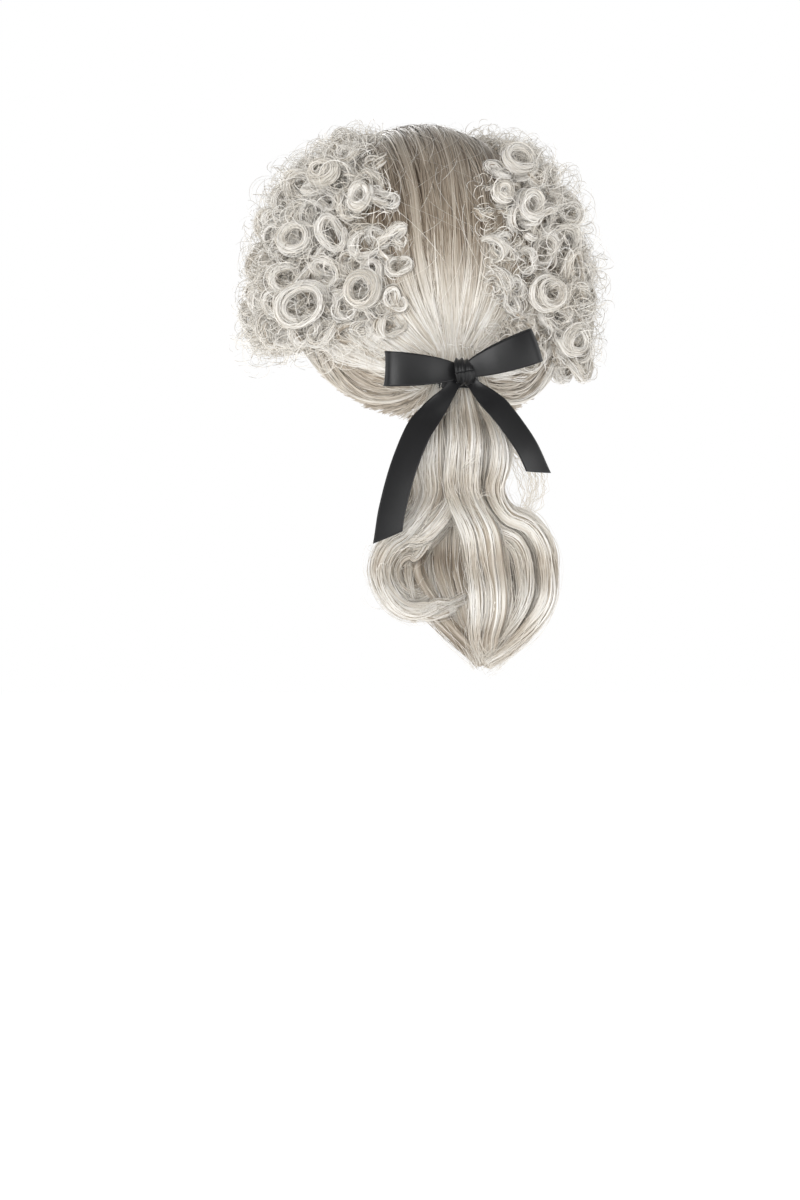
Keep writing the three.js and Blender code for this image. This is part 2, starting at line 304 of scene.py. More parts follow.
class Hair:
    """Collects strands and makes one piece of them. Each strand is a narrow strip, turned a
    little about its own line, so that neighbours catch the light differently. Every point has
    three shade values: rand (one per strand), tone (lighter or darker, partly painted light
    and shade) and deep (how buried, which paints shade on it)."""

    def __init__(self, name, seed):
        self.name = name
        self.rng = np.random.default_rng(seed)
        self.points, self.faces, self.uv, self.data = [], [], [], []
        self.count = 0
        self.strands = 0

    def add(self, paths, normals, width, tone, tilt=38.0, deep=0.0):
        """Strands along paths (strands, points, 3), whose flat sides face along normals."""
        s, n, _ = paths.shape
        rng = self.rng
        tangent = tangents(paths)
        normal = square_to(normals, tangent)
        side = np.cross(tangent, normal)
        turn = np.radians(rng.uniform(-tilt, tilt, (s, 1, 1)))
        across = side * np.cos(turn) + normal * np.sin(turn)
        t = ticks(n)
        shape = mix(1.0, STRAND_END, np.maximum(smooth(t, 0.75, 1), 1 - smooth(t, 0, 0.06)))
        half = (np.broadcast_to(width, (s,)) * rng.uniform(0.75, 1.25, s))[:, None] * shape / 2
        low = paths - across * half[..., None]
        high = paths + across * half[..., None]
        self.points.append(np.stack([low, high], 2).reshape(-1, 3))
        base = np.arange(s)[:, None] * (2 * n) + 2 * np.arange(n - 1)[None]
        self.faces.append(np.stack([base, base + 1, base + 3, base + 2], -1).reshape(-1, 4) + self.count)
        self.count += 2 * s * n
        rows = [np.broadcast_to(value, (s, n)) for value in (rng.uniform(0, 1, (s, 1)), tone, deep)]
        self.data.append(np.repeat(np.stack(rows, -1).reshape(-1, 3), 2, axis=0))
        self.uv.append((np.arange(s) + self.strands, n))
        self.strands += s

    def core(self, path, half_wide, half_deep, wide, deep_axis, sides=8):
        """A closed core of solid hair inside a lock, painted dark as painted shade."""
        n = len(path)
        a = np.linspace(0, TURN, sides, endpoint=False)
        ring = (
            path[:, None]
            + wide[:, None] * (np.cos(a)[None, :, None] * half_wide[:, None, None])
            + deep_axis[:, None] * (np.sin(a)[None, :, None] * half_deep[:, None, None])
        )
        self.points.append(ring.reshape(-1, 3))
        self.faces.append(closed_faces(n, sides) + self.count)
        self.count += n * sides
        self.data.append(np.tile(CORE_PAINTED_SHADE, (n * sides, 1)))
        self.uv.append((None, n * sides))

    def make(self):
        """The piece. Each strand has its own cell of the texture map, and the cores share one point."""
        columns = max(1, math.ceil(math.sqrt(self.strands * STRAND_UV_CELLS)))
        rows = max(1, math.ceil(self.strands / columns))
        layers = []
        for index, n in self.uv:
            if index is None:
                layers.append(np.full((n, 2), CORE_UV))
                continue
            col, row = index % columns, index // columns
            u = (col[:, None, None] + np.array([0.15, 0.85])) / columns
            v = (row[:, None, None] + np.linspace(0.03, 0.97, n)[None, :, None]) / rows
            layers.append(np.stack(np.broadcast_arrays(u, v), -1).reshape(-1, 2))
        attributes = dict(zip(("rand", "tone", "deep"), np.vstack(self.data).T))
        return to_mesh(self.name, np.vstack(self.points), np.vstack(self.faces), HAIR_MAT, attributes,
                       ("OFBake", np.vstack(layers)))


def bundle(hair, path, wide, half_w, half_d, strands, width=0.5, clumps=5, clumping=0.35, tone=0.0,
           frizz=0.35, tilt=38.0, core=0.62, shell=0.55, tip=1.0, grain=0.08):
    """A lock: strands that run side by side along path, inside an elliptical section."""
    rng = hair.rng
    n = len(path)
    tangent = tangents(path)
    wide = square_to(np.broadcast_to(np.asarray(wide, float), (n, 3)), tangent)
    depth = np.cross(tangent, wide)
    half_w = np.broadcast_to(np.asarray(half_w, float), (n,))
    half_d = np.broadcast_to(np.asarray(half_d, float), (n,))
    # each strand's place in the section, drawn towards the nearest clump
    angle = rng.uniform(0, TURN, strands)
    radius = 1 - shell * rng.uniform(0, 1, strands) ** 1.5
    t = ticks(n)
    ox, oy = (radius * np.cos(angle))[:, None], (radius * np.sin(angle))[:, None]
    c_angle, c_rad = rng.uniform(0, TURN, clumps), rng.uniform(0.45, 0.95, clumps)
    cx, cy = c_rad * np.cos(c_angle), c_rad * np.sin(c_angle)
    which = np.argmin((ox - cx) ** 2 + (oy - cy) ** 2, axis=1)
    pull = clumping * mix(0.3, 1.0, smooth(t, 0, 0.5))[None]
    ox, oy = mix(ox, cx[which][:, None], pull), mix(oy, cy[which][:, None], pull)
    ox = ox * mix(1, tip, t[None] ** 2)
    # each strand's own waver; a few strands waver much more than the rest
    phase = rng.uniform(0, TURN, (3, strands, 1))
    rate = rng.uniform(1.0, 3.5, (3, strands, 1))
    size = frizz * rng.uniform(0.1, 1, (strands, 1)) ** 3 * 2.4
    wob = np.sin(rate * TURN * t + phase) * size
    paths = (
        path[None]
        + wide[None] * (ox * half_w + wob[0])[..., None]
        + depth[None] * (oy * half_d + wob[1])[..., None]
        + tangent[None] * wob[2][..., None]
    )
    normal = wide[None] * (ox / np.maximum(half_w, 1))[..., None]
    normal = normal + depth[None] * (oy / np.maximum(half_d, 1))[..., None]
    # strands nearer the middle of the lock are painted darker: painted shade
    buried = 0.2 * (1 - np.clip(np.sqrt(ox**2 + oy**2), 0, 1))
    tones = tone + grain * rng.normal(0, 1, clumps)[which][:, None] + np.zeros((1, n))
    hair.add(paths, unit(normal + 1e-6), width, tones, tilt, deep=buried)
    if core:
        hair.core(path, half_w * core, half_d * core, wide, depth)


# ---- materials ----
def node(tree, kind, **values):
    """A shader node. A value is a setting of the node, a number for an input, or a link to it."""
    made = tree.nodes.new(kind)
    for key, value in values.items():
        if key not in made.inputs:
            setattr(made, key, value)
        elif isinstance(value, bpy.types.NodeSocket):
            tree.links.new(value, made.inputs[key])
        else:
            made.inputs[key].default_value = value
    return made


def material(name, rough, specular, sheen=0.0, sheen_rough=0.5):
    mat = bpy.data.materials.new(name)
    mat.use_nodes = True
    shader = mat.node_tree.nodes["Principled BSDF"]
    for key, value in (("Roughness", rough), ("Specular IOR Level", specular), ("Sheen Weight", sheen),
                       ("Sheen Roughness", sheen_rough)):
        shader.inputs[key].default_value = value
    return mat, mat.node_tree, shader


def attribute(tree, name):
    return node(tree, "ShaderNodeAttribute", attribute_name=name).outputs["Fac"]


def object_place(tree):
    return node(tree, "ShaderNodeTexCoord").outputs["Object"]


def maths(tree, kind, a, b, c=0.0):
    made = node(tree, "ShaderNodeMath", operation=kind)
    for socket, value in zip(made.inputs, (a, b, c)):
        if isinstance(value, bpy.types.NodeSocket):
            tree.links.new(value, socket)
        else:
            socket.default_value = value
    return made.outputs[0]


def ramp(tree, source, stops):
    made = node(tree, "ShaderNodeValToRGB", Fac=source)
    elements = made.color_ramp.elements
    while len(elements) < len(stops):
        elements.new(0.5)
    for element, (at, color) in zip(elements, stops):
        element.position = at
        element.color = (*color, 1)
    return made.outputs["Color"]


def bumped(tree, shader, height, strength, distance):
    bump = node(tree, "ShaderNodeBump", Strength=strength, Distance=distance, Height=height)
    tree.links.new(bump.outputs["Normal"], shader.inputs["Normal"])


# the fibre's own tones; the darker end also serves the painted shade of buried and shaded hair
FIBRE_TONES_AND_PAINTED_SHADE = (
    (0.0, (0.12, 0.084, 0.054)),
    (0.28, (0.31, 0.245, 0.178)),
    (0.55, (0.56, 0.495, 0.41)),
    (0.8, (0.76, 0.715, 0.64)),
    (1.0, (0.87, 0.845, 0.80)),
)


def hair_material():
    """White-grey fibre: each strand and clump has its own shade; buried hair is painted darker as painted
    shade, and the tone carries painted light and shade as well.
    """
    mat, tree, shader = material("wig_hair", 0.36, 0.6, 0.25, 0.45)
    value = maths(tree, "MULTIPLY_ADD", attribute(tree, "rand"), 0.24, 0.58)
    # tone holds the fibre's own variation together with painted light and shade
    value = maths(tree, "ADD", value, attribute(tree, "tone"))
    # deep darkens buried hair: painted shade
    value = maths(tree, "SUBTRACT", value, maths(tree, "MULTIPLY", attribute(tree, "deep"), 0.55))
    noise = node(tree, "ShaderNodeTexNoise", Scale=45.0, Detail=3.0, Vector=object_place(tree))
    value = maths(tree, "MULTIPLY_ADD", noise.outputs["Fac"], 0.22, maths(tree, "SUBTRACT", value, 0.11))
    tree.links.new(ramp(tree, value, FIBRE_TONES_AND_PAINTED_SHADE), shader.inputs["Base Color"])
    shader.inputs["Coat Weight"].default_value = 0.12
    shader.inputs["Coat Roughness"].default_value = 0.25
    return mat


def satin_material():
    """Black satin: a fine twill of floats with a soft sheen."""
    mat, tree, shader = material("black_satin", 0.3, 0.42, 0.12, 0.4)
    uv = node(tree, "ShaderNodeUVMap", uv_map="weave").outputs["UV"]
    floats = node(tree, "ShaderNodeMapping", Scale=(60.0, 1.0, 1.0), Vector=uv).outputs["Vector"]
    wave = node(tree, "ShaderNodeTexWave", Scale=1.0, Distortion=0.6, Detail=2.0, wave_type="BANDS",
                bands_direction="X", Vector=floats)
    fleck = node(tree, "ShaderNodeTexNoise", Scale=900.0, Detail=2.0, Vector=object_place(tree))
    blend = maths(tree, "MULTIPLY_ADD", fleck.outputs["Fac"], 0.4,
                  maths(tree, "MULTIPLY", wave.outputs["Fac"], 0.5))
    color = ramp(tree, blend, [(0.0, (0.002, 0.002, 0.0025)), (1.0, (0.006, 0.006, 0.007))])
    tree.links.new(color, shader.inputs["Base Color"])
    tree.links.new(maths(tree, "MULTIPLY_ADD", blend, 0.16, 0.30), shader.inputs["Roughness"])
    bumped(tree, shader, blend, 0.12, 0.0002)
    return mat


def fabric_material(name, dark, light, scale, rough=0.85):
    """A fine mottled surface between two shades, for cloth and for milky plastic."""
    mat, tree, shader = material(name, rough, 0.3, 0.3)
    noise = node(tree, "ShaderNodeTexNoise", Scale=scale, Detail=4.0, Roughness=0.7,
                 Vector=object_place(tree)).outputs["Fac"]
    tree.links.new(ramp(tree, noise, [(0.3, dark), (0.7, light)]), shader.inputs["Base Color"])
    bumped(tree, shader, noise, 0.4, 0.0003)
    return mat


HAIR_MAT = hair_material()
SATIN_MAT = satin_material()
NET_MAT = fabric_material("cap_net", (0.30, 0.275, 0.24), (0.44, 0.41, 0.36), 700.0)
ELASTIC_MAT = fabric_material("woven_elastic", (0.42, 0.39, 0.34), (0.60, 0.57, 0.51), 1200.0)
PLASTIC_MAT = fabric_material("milky_plastic", (0.60, 0.59, 0.55), (0.70, 0.69, 0.65), 90.0, 0.35)


# ---- combed hair ----
TIE_WAY = unit(TIE)
COMB_STRIDE = math.radians(2.6)
COMB_STEPS = 120
COMB_STOP = 11.0
NECK_STEPS = 12
# how strongly strands draw together in clumps, and how far clumps and single strands stray
CLUMPING, CLUMP_STRAY, STRAND_STRAY = 0.55, 0.7, 0.35
# how much the shade changes from clump to clump, and the painted light and shade along the waves and the
# painted shade at the roots
CLUMP_SHADE, WAVE_PAINTED_SHADE, ROOT_PAINTED_SHADE = 0.17, 0.07, 0.07


def flow(start, sag):
    """Follow the comb over the head from each start direction until it nears the tie."""
    d = start.copy()
    trail = [d]
    live = np.ones(len(d), bool)
    length = np.ones(len(d), int)
    for _ in range(COMB_STEPS):
        angle = np.degrees(np.arccos(np.clip(d @ TIE_WAY, -1, 1)))
        toward = unit(TIE_WAY - (d @ TIE_WAY)[:, None] * d)
        down = unit(xyz(0, d[:, 2], -d[:, 1]))
        polar = np.degrees(np.arctan2(d[:, 1], d[:, 2]))
        pull = np.maximum(1 - smooth(angle, 14, 66), smooth(polar, 88, 118))
        droop = sag * smooth(angle, 14, 45)[:, None] * smooth(-polar, -136, -126)[:, None]
        step = unit(mix(down, toward, pull[:, None]) + droop * down)
        live = live & (angle > COMB_STOP)
        d = np.where(live[:, None], unit(d + step * COMB_STRIDE), d)
        length += live
        trail.append(d)
    return np.stack(trail, 1), length


def even(trail, length, count):
    """Each trail cut at its length and spread over the same number of points."""
    out = np.empty((len(trail), count, 3))
    for i, n in enumerate(length):
        x = np.linspace(0, n - 1, count)
        low = np.minimum(x.astype(int), max(n - 2, 0))
        out[i] = mix(trail[i, low], trail[i, np.minimum(low + 1, n - 1)], (x - low)[:, None])
    return unit(out)


def into_neck(points, normals, rng):
    """Lead strands on from the head into the hair elastic."""
    count = len(points)
    last, before = points[:, -1], points[:, -2]
    way = last - TIE
    angle = np.arctan2(np.maximum(way[:, 1], -4) + 6, way[:, 0]) + rng.normal(0, 0.14, count)
    radius = NECK_R * rng.uniform(0.5, 1.0, count)
    out = xyz(np.cos(angle), np.sin(angle), 0)
    end = TIE + out * radius[:, None] - UP * 4.0
    s = ticks(NECK_STEPS + 1)[None, 1:, None]
    leave = unit(last - before)[:, None] * 18.0
    arrive = np.tile(-UP * 19.2, (count, 1))[:, None]
    curve = (
        (2 * s**3 - 3 * s**2 + 1) * last[:, None] + (s**3 - 2 * s**2 + s) * leave
        + (-2 * s**3 + 3 * s**2) * end[:, None] + (s**3 - s**2) * arrive
    )
    turned = unit(mix(normals[:, -1:], out[:, None], s))
    return np.concatenate([points, curve], 1), np.concatenate([normals, turned], 1)


def comb(hair, polar, lateral, lift, width, tone, count=40, guides=60, wave=1.7, deep=0.0,
         crown_painted_shade=0.62, sag=0.0):
    """Strands combed from start angles to the tie, drawn together in clumps round guides.
    Over the crown the hair is painted darker than low at the back, by the amount given for the crown: painted
    shade where the crown faces up, away from the light."""
    rng = hair.rng
    strands = len(polar)
    start = direction(polar, lateral)
    own = even(*flow(start, sag), count)
    pick = rng.choice(strands, guides, replace=False)
    near = np.argmax(start @ start[pick].T, axis=1)
    t = ticks(count)[None]
    d = unit(mix(own, own[pick][near], CLUMPING * smooth(t, 0.02, 0.75)[..., None]))
    shift = rng.normal(0, 1, guides)[near][:, None]
    phase = rng.uniform(0, 6.28, guides)[near][:, None]
    wob = rng.uniform(0, 6.28, (3, strands, 1))
    p, q = angles_of(d)
    height = reach(HEAD, d) + hair_height(p, q) + lift[:, None]
    height += CLUMP_STRAY * shift * smooth(t, 0.05, 0.3) * (1 - smooth(t, 0.85, 1))
    height += STRAND_STRAY * np.sin(t * 17 + wob[1])
    points = d * height[..., None]
    side = np.cross(tangents(points), d)
    lower = smooth(p, 20, 80)
    sway = wave * np.sin(p / 11 + phase) * lower + STRAND_STRAY * np.sin(t * 14 + wob[0])
    points = points + side * sway[..., None]
    # painted shade over the crown, which faces up and away from the light; a little less at the very top
    dark = crown_painted_shade * (1 - smooth(p, 60, 106)) * smooth(p, -55, -15) * mix(0.66, 1.0, smooth(p, 5, 45))
    # painted light and shade along the waves, and painted shade at the roots
    shade = tone + CLUMP_SHADE * shift + WAVE_PAINTED_SHADE * np.sin(p / 9 + phase) * lower
    shade = shade - dark - ROOT_PAINTED_SHADE * (1 - smooth(t, 0, 0.15))
    points, normals = into_neck(points, d, rng)
    shade = np.concatenate([shade, np.repeat(shade[:, -1:], NECK_STEPS, 1)], 1)
    hair.add(points, normals, width, shade, deep=deep)


GROUND_LOW = 5.2
# the ground is painted dark: painted shade between the strands
GROUND_PAINTED_SHADE = {"rand": 0.3, "tone": -0.28, "deep": 0.35}


def ground(name, polar, lateral, high, nu=60):
    """The ground that shows between the strands, painted dark as painted shade: a closed patch under the
    combed hair.
    """
    points, faces = patch(polar, lateral, level(GROUND_LOW), high, nu, 24)
    shade = {key: np.full(len(points), value) for key, value in GROUND_PAINTED_SHADE.items()}
    place(to_mesh(name, points, faces, HAIR_MAT, shade), "hair", "cap")


def under_hair(a, b):
    return hair_height(a, b) - 2.5


# where combed hair leaves the cap's body and where it has joined the tie's, in metres
COMB_GATHER = ((0, 0.106, -0.018), (0, 0.116, -0.044))
NAPE_GATHER = ((0, 0.095, -0.045), (0, 0.108, -0.045))
# layers of combed hair, from deep to loose: strands, range of lift, width, deep, tone. deep and tone paint
# shade on the deeper layers and painted light on the loosest
CROWN_LAYERS = ((600, (-3.0, -1.4), 0.9, 0.40, -0.06), (1300, (-1.6, 0.3), 0.5, 0.0, 0.03),
                (400, (-0.2, 1.0), 0.35, -0.05, 0.12))
SIDE_LAYERS = ((900, (-2.4, -0.6), 0.9, 0.2, -0.02), (1500, (-0.8, 1.2), 0.55, 0.0, 0.06))
NAPE_LAYERS = ((900, (-2.6, -0.6), 0.8, 0.15, -0.12), (1900, (-1.0, 1.6), 0.55, 0.0, -0.12))


def build_combed():
    ground("crown_base", (FRONT_EDGE - 3, 93), (-26, 26), under_hair)
    for side, sign in SIDES:
        ground(f"side_base_{side}", (FRONT_EDGE - 1, NAPE_EDGE + 3), (sign * 26.4, sign * 79), under_hair)
    ground("nape_base", (94, 130), (-26, 26), level(6.4), 20)

    for side, sign in SIDES:
        crown = Hair(f"crown_hair_{side}", 11 + sign)
        rng = crown.rng
        for strands, lift, width, deep, tone in CROWN_LAYERS:
            polar = np.where(rng.random(strands) < 0.55, rng.uniform(-64, -58, strands),
                             rng.uniform(-50, 75, strands))
            lateral = sign * rng.uniform(-3, 52, strands)
            comb(crown, polar, lateral, rng.uniform(*lift, strands), width, tone, deep=deep)
        flyaways(crown, sign)
        span(crown.make(), "hair", ("hair_crown", "hair_gather"), ("cap", "tie"), *COMB_GATHER)

        sweep = Hair(f"side_hair_{side}", 17 + sign)
        rng = sweep.rng
        for strands, lift, width, deep, tone in SIDE_LAYERS:
            polar = rng.uniform(-30, 122, strands)
            lateral = sign * rng.uniform(30, 78, strands)
            comb(sweep, polar, lateral, rng.uniform(*lift, strands), width, tone, count=34, guides=45,
                 deep=deep, crown_painted_shade=0.2)
        span(sweep.make(), "hair", (f"hair_side_{side}",), ("cap", "tie"), *COMB_GATHER)


def flyaways(hair, sign):
    """Single hairs that have worked loose and cross over the combed ones."""
    rng = hair.rng
    strands, count = 70, 22
    start = direction(rng.uniform(-30, 80, strands), sign * rng.uniform(-8, 46, strands))
    along = unit(xyz(rng.normal(0, 0.32, strands), start[:, 2], -start[:, 1]))
    t = ticks(count)[None, :, None]
    length = rng.uniform(0.15, 0.6, (strands, 1, 1))
    bend = rng.normal(0, 0.22, (strands, 1, 1)) * np.array([1.0, 0, 0])
    d = unit(start[:, None] + along[:, None] * length * t + bend * t * t)
    rise = 2.2 * np.sin(np.pi * t[..., 0]) * rng.uniform(0, 1, (strands, 1))
    height = reach(HEAD, d) + hair_height(*angles_of(d)) + 0.8 + rise
    # the loose hairs are painted a little lighter: painted light
    hair.add(d * height[..., None], d, 0.22, 0.06, 20.0, deep=-0.1)


def build_nape():
    """Hair from the nape edge, drawn up to the tie."""
    hair = Hair("nape_hair", 23)
    rng = hair.rng
    for strands, lift, width, deep, tone in NAPE_LAYERS:
        side = rng.choice([-1, 1], strands)
        edge = rng.random(strands) < 0.5
        polar = np.where(edge, rng.uniform(130.5, 133.5, strands), rng.uniform(104, 130, strands))
        lateral = side * rng.uniform(0, 1, strands) * np.where(polar > 126, 62, 76)
        comb(hair, polar, lateral, rng.uniform(*lift, strands), width, tone, count=30, wave=0.5, deep=deep,
             sag=0.75)
    span(hair.make(), "hair", ("hair_nape",), ("cap", "tie"), *NAPE_GATHER)


# ---- curls ----
def lock_path(root, centre, axis, radius, turns, pitch, phase, sign, shrink, count, loose):
    """A centre line that leaves the head at root, swings out and winds round an axis."""
    u = unit(np.cross(axis, UP if abs(axis[2]) < 0.9 else BACK))
    v = np.cross(axis, u)
    t = ticks(90)
    angle = phase + sign * t * turns * TURN
    r = radius * (1 - shrink * t)
    r = r * (1 + loose * np.sin(2 * angle + phase * 3) + 0.7 * loose * np.sin(1.3 * angle + phase * 7))
    rise = (t - 0.5) * pitch * turns + 9 * loose * np.sin(1.7 * angle + phase)
    helix = centre + circling(u, v, angle, r) + axis * rise[:, None]
    tangent = unit(helix[1] - helix[0])
    control = helix[0] - tangent * length_of(helix[0] - root) * 0.6
    s = ticks(16)[:-1, None]
    lead = (1 - s) ** 2 * root + 2 * s * (1 - s) * control + s**2 * helix[0]
    return resample(np.vstack([lead, helix]), count)


def ringlet(hair, root, centre, axis, radius, turns, pitch, wide, thick, strands, shrink, tone, loose,
            count, width):
    """One curled lock: a bundle that rises from the head and winds round its axis."""
    rng = hair.rng
    path = lock_path(root, centre, axis, radius, turns, pitch, rng.uniform(0, TURN), rng.choice([-1, 1]),
                     shrink, count, loose)
    t = ticks(count)
    half_w = wide * mix(1.0, 0.7, t) * mix(0.5, 1, smooth(t, 0, 0.2))
    half_d = thick * mix(1.0, 0.6, t)
    bundle(hair, path, axis, half_w, half_d, strands, width=width, clumping=0.25, tone=tone, frizz=1.2,
           core=0.55, shell=0.75, tilt=40.0)


def curl_depth(azimuth, elevation):
    """How far the curls stand over the combed hair."""
    depth = mix(28.0, 13.0, smooth(azimuth, 38, 80))
    depth = mix(depth, 17.0, smooth(elevation, 40, 68))
    return mix(depth, 15.0, 1 - smooth(azimuth, -55, -38))


CURL_NODES = [f"{c}_{r}" for c in ("fore", "rear") for r in (1, 2, 3, 4)] + ["top", "ring_1", "ring_2"]
# no curl stands nearer to the tie than this, so that the tie can lift
TIE_CLEAR = 42.0
# the big open rings beside the combed strip: azimuth, elevation, ring radius, lean to the side
OPEN_RINGS = {
    "left": ((60, 31, 7.6, 0.1), (63, 3, 11.0, 0.3), (45, -2, 15.5, 0.0), (44, 40, 9.0, 0.3),
             (40, 20, 10.0, -0.2)),
    "right": ((64, 28, 8.5, 0.0), (60, 44, 10.5, 0.2), (72, 33, 6.0, 0.2), (62, 2, 12.0, 0.1),
              (52, -12, 10.0, 0.2)),
}
# the share of the outer curls that wind more than once
LONG_CURLS = 0.26
# the two layers of other curls: step between curls, strands of one, points along it, strand width
INNER_CURLS, OUTER_CURLS = (20.0, 44, 24, 0.65), (17.4, 92, 34, 0.48)


def curl_edge(side, elevation):
    """The azimuth where the curls give way to the combed strip."""
    if side == "left":
        return mix(70, 50, smooth(elevation, 34, 58))
    return mix(82, 38, smooth(elevation, 34, 62))


def curl_places(rng, side, step):
    """Seats on a staggered net over one side of the head, each a little off its place."""
    rise = math.degrees(step / 100)
    lowest = -10 if side == "left" else -18
    places = []
    for row in range(int((68 - lowest) / rise) + 1):
        elevation = lowest + row * rise
        around = rise / math.cos(math.radians(elevation))
        for azimuth in np.arange(-50 + around * 0.5 * (row % 2), curl_edge(side, elevation) + 2, around):
            places.append((azimuth + rng.normal(0, 2.2), elevation + rng.normal(0, 2.0)))
    return places


def build_curls():
    for side, sign in SIDES:
        names = [f"curl_{side}_{n}" for n in CURL_NODES]
        homes = np.array([centre_of(n) for n in names])
        locks = [Hair(n + "_hair", 200 + i + (50 if sign > 0 else 0)) for i, n in enumerate(names)]
        rng = np.random.default_rng(300 + sign)

        def nearest(centre):
            return locks[int(np.argmin(length_of(homes - centre)))]

        rings = []
        for azimuth, elevation, radius, lean in OPEN_RINGS[side]:
            point, normal = seat(sign, azimuth, elevation)
            centre = point + normal * (curl_depth(azimuth, elevation) - 2.0)
            rings.append((centre, radius))
            axis = unit(normal + np.array([0.0, 0.9, 0.0]) + np.array([sign * lean, 0, 0.15]))
            ringlet(nearest(centre), centre - normal * (radius + 5), centre, axis, radius,
                    rng.uniform(1.5, 2.5), rng.uniform(2.0, 4.5), 2.4, 1.8, 120, rng.uniform(0.25, 0.6), 0.26,
                    rng.uniform(0.06, 0.15), 60, 0.5)
        for outer, (step, strands, count, width) in enumerate((INNER_CURLS, OUTER_CURLS)):
            for azimuth, elevation in curl_places(rng, side, step):
                point, normal = seat(sign, azimuth, elevation)
                share = rng.uniform(0.84, 1.04) if outer else rng.uniform(0.5, 0.66)
                depth = curl_depth(azimuth, elevation) * share
                radius = rng.uniform(6.8, 13.0) * mix(1.0, 0.82, smooth(azimuth, 45, 75))
                radius *= 1 if outer else 0.9
                turns = rng.uniform(1.2, 1.9) if rng.random() < LONG_CURLS * outer else rng.uniform(0.6, 1.05)
                pitch = rng.uniform(2.0, 8.0)
                along = unit(np.array([-sign * normal[1], sign * normal[0], 0.0]))
                lean = mix(rng.uniform(0.4, 1.5), rng.uniform(0.0, 0.9), smooth(azimuth, 0, 55))
                axis = unit(normal * math.cos(lean) + along * math.sin(lean) + UP * rng.normal(0, 0.4))
                cosine = abs(float(axis @ normal))
                stand = radius * math.sqrt(max(1 - cosine**2, 0)) + (pitch * turns / 2 + 3) * cosine
                centre = point + normal * max(depth - stand - 2.0, radius * 0.3)
                if outer and any(length_of(centre - c) < r + 4 for c, r in rings):
                    continue
                if length_of(centre - TIE) < TIE_CLEAR:
                    continue
                wide, thick, shrink = rng.uniform(2.8, 4.9), rng.uniform(2.0, 3.6), rng.uniform(0.15, 0.6)
                # the inner layer of curls is painted darker than the outer: painted shade
                tone = rng.normal(0.27 if outer else 0.14, 0.06)
                ringlet(nearest(centre), point + normal * 2, centre, axis, radius, turns, pitch, wide,
                        thick, strands, shrink, tone, 0.2, count, width)
        for name, hair in zip(names, locks):
            if hair.strands:
                place(hair.make(), "hair", "cap", name)
        build_frizz(side, sign)


def build_frizz(side, sign):
    """The crimped short hair between and under the curls."""
    hair = Hair(f"frizz_{side}", 400 + sign)
    rng = hair.rng
    strands, count = 2500, 15
    elevation = rng.uniform(-20, 68, strands)
    azimuth = mix(-52, curl_edge(side, elevation), rng.random(strands))
    places = [seat(sign, a, e) for a, e in zip(azimuth, elevation)]
    point = np.array([p for p, _ in places])
    normal = np.array([n for _, n in places])
    depth = np.array([curl_depth(a, e) for a, e in zip(azimuth, elevation)])
    share = rng.uniform(0.1, 1.0, strands) ** 0.7
    way = unit(rng.normal(0, 1, (strands, 3)))
    axis = unit(normal * rng.uniform(0, 1, (strands, 1)) + way)
    u = unit(np.cross(axis, normal + 0.01))
    v = np.cross(axis, u)
    radius = rng.uniform(4, 12, strands) * np.minimum(1, depth / 24)
    t = ticks(count)[None]
    angle = rng.uniform(0, 6.28, (strands, 1)) + t * rng.uniform(1.5, 5.5, (strands, 1))
    centre = point + normal * (depth * share - 1)[:, None]
    paths = centre[:, None] + circling(u[:, None], v[:, None], angle, radius[:, None])
    paths = paths + axis[:, None] * ((t - 0.5) * rng.uniform(-6, 6, (strands, 1)))[..., None]
    # frizz nearer the head is painted darker: painted shade
    hair.add(paths, np.repeat(normal[:, None], count, 1), 0.38, 0.2, 60.0, deep=0.22 * (1 - share)[:, None])
    place(hair.make(), "hair", "cap", f"hair_side_{side}")


# ---- queue ----
ROLL_X, ROLL_Z, ROLL_RADIUS = 26.5, -172.0, 28.5
CRIMP_LENGTH, CRIMP_CREST = 47.0, -96.0
# where the queue's hair leaves the tie's body and where it is all on its own, in metres
QUEUE_BEND = ((0, 0.116, -0.056), (0, 0.118, -0.074))


def crimped(points, amount):
    """The crimp of the queue: the hair swells and sinks on its way down."""
    crest = np.cos(TURN * (points[:, 2] - CRIMP_CREST) / CRIMP_LENGTH) * smooth(-points[:, 2], 58, 80)
    return points + BACK * (4.4 * amount * crest)[:, None], crest


